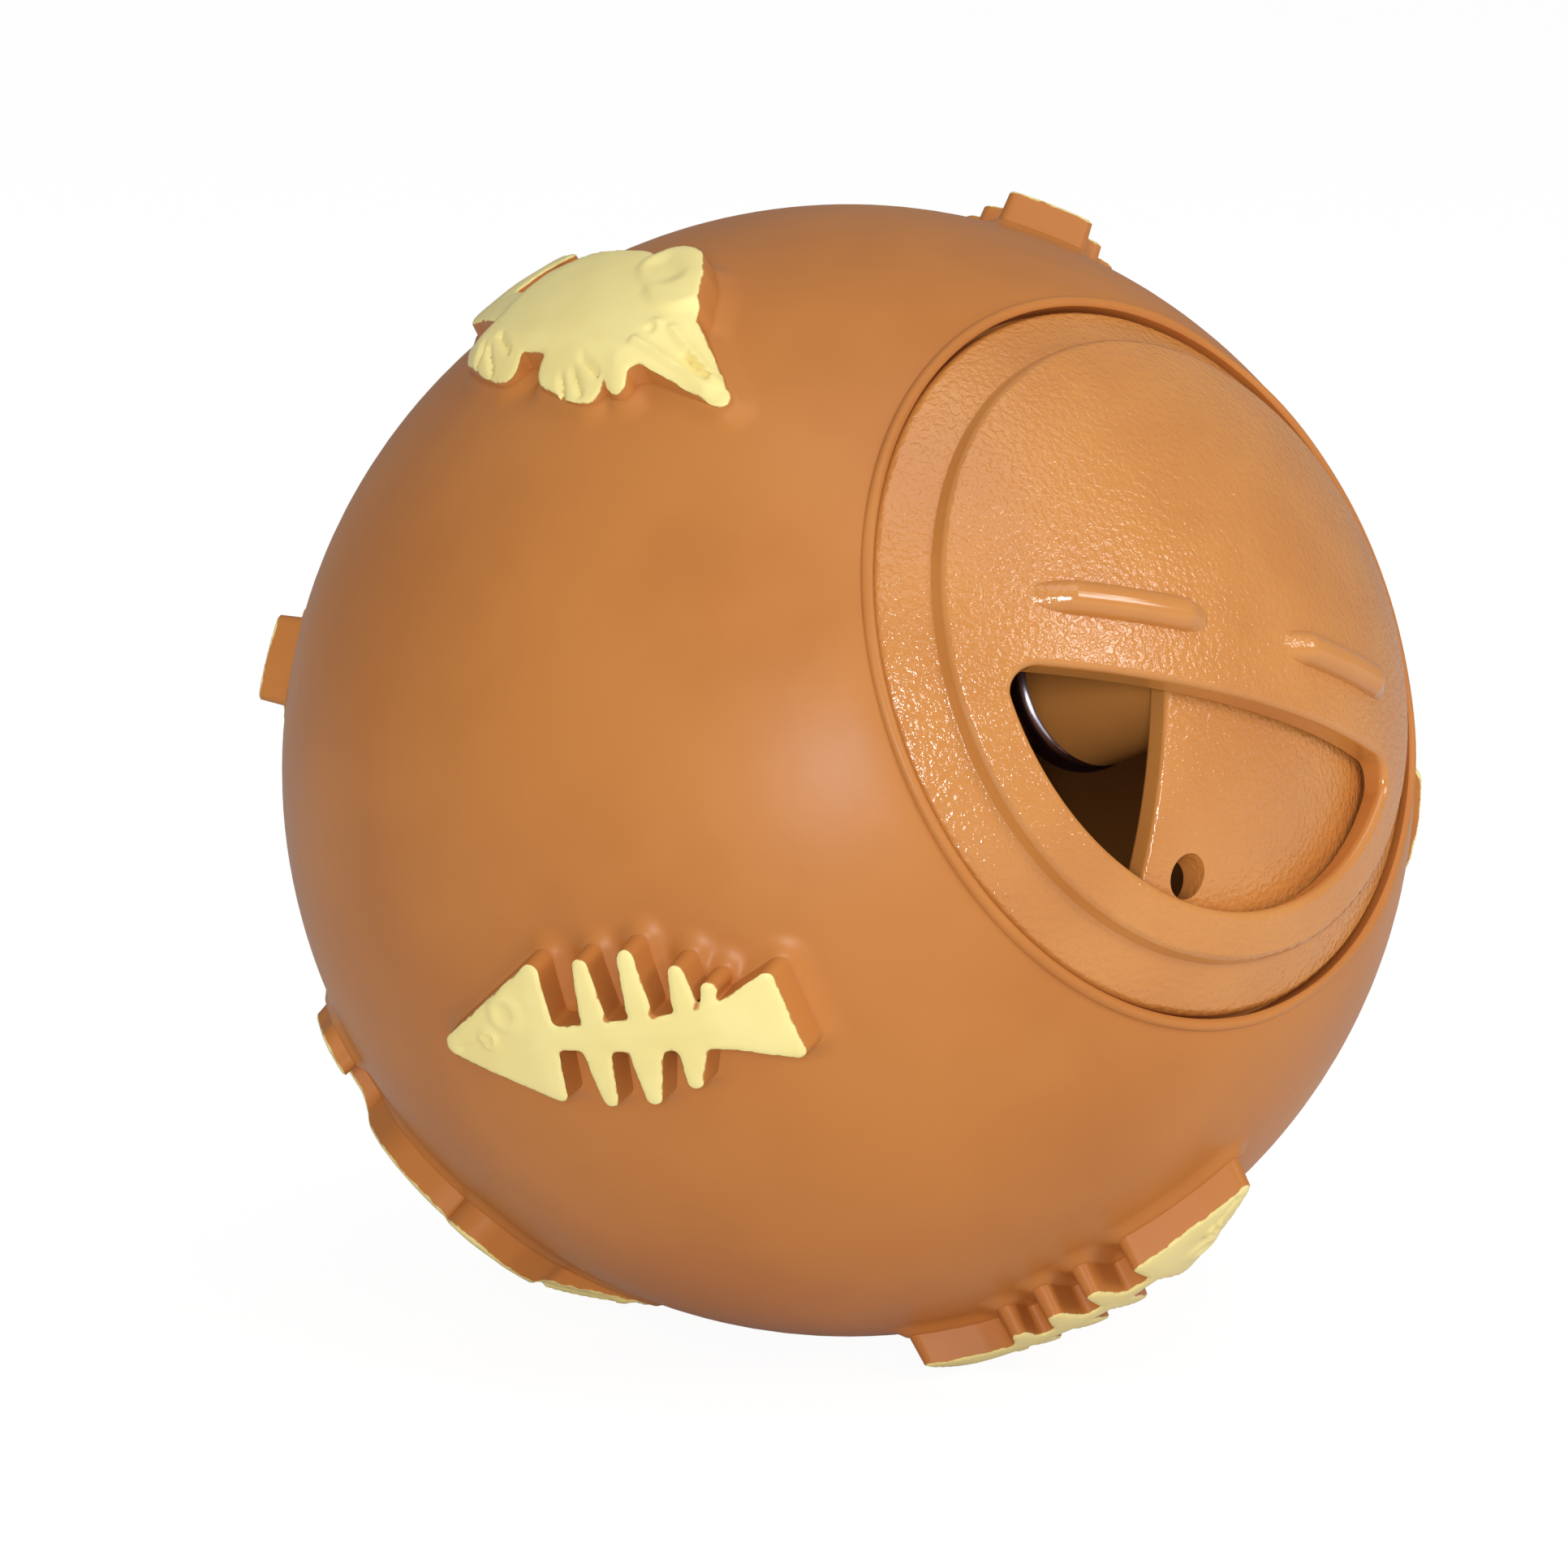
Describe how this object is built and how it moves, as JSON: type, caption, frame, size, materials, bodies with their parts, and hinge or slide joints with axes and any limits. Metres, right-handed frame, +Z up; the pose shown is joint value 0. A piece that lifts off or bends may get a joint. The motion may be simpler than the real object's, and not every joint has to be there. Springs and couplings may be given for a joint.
{
  "type": "treat dispensing ball",
  "caption": "Hollow ball toy with raised fish and mouse figures, a press-in cap with a half-moon window, and a turning shutter that meters out treats.",
  "frame": {"origin": "on the floor, under the middle of the ball as it stands on its lowest figure", "axes": "+Z up; the cap looks along -Y and rises 22.5 degrees above the horizon; +X to the right of someone facing the cap"},
  "size_m": [0.072, 0.0726, 0.0708],
  "materials": {
    "soft_vinyl": "satin soft vinyl, orange brown, figures painted cream on top",
    "cap_plastic": "rigid moulded plastic with a fine spark-eroded texture, orange",
    "shutter_plastic": "rigid moulded plastic with a fine spark-eroded texture, orange",
    "screw_steel": "dark glossy plated steel"
  },
  "bodies": {
    "ball": {"ball_shell": "soft_vinyl"},
    "cap": {"dispenser_cap": "cap_plastic", "pivot_screw": "screw_steel"},
    "shutter": {"shutter": "shutter_plastic"}
  },
  "joints": [
    {"name": "cap_pull", "type": "slide", "parent": "ball", "child": "cap", "axis": [0, -0.9239, 0.3827], "range_m": [0, 0.04]},
    {"name": "shutter_turn", "type": "hinge", "parent": "cap", "child": "shutter", "pos_m": [-0.00026, -0.00107, 0.03518], "axis": [0, -0.9239, 0.3827], "range_deg": [-63, 87]}
  ]
}
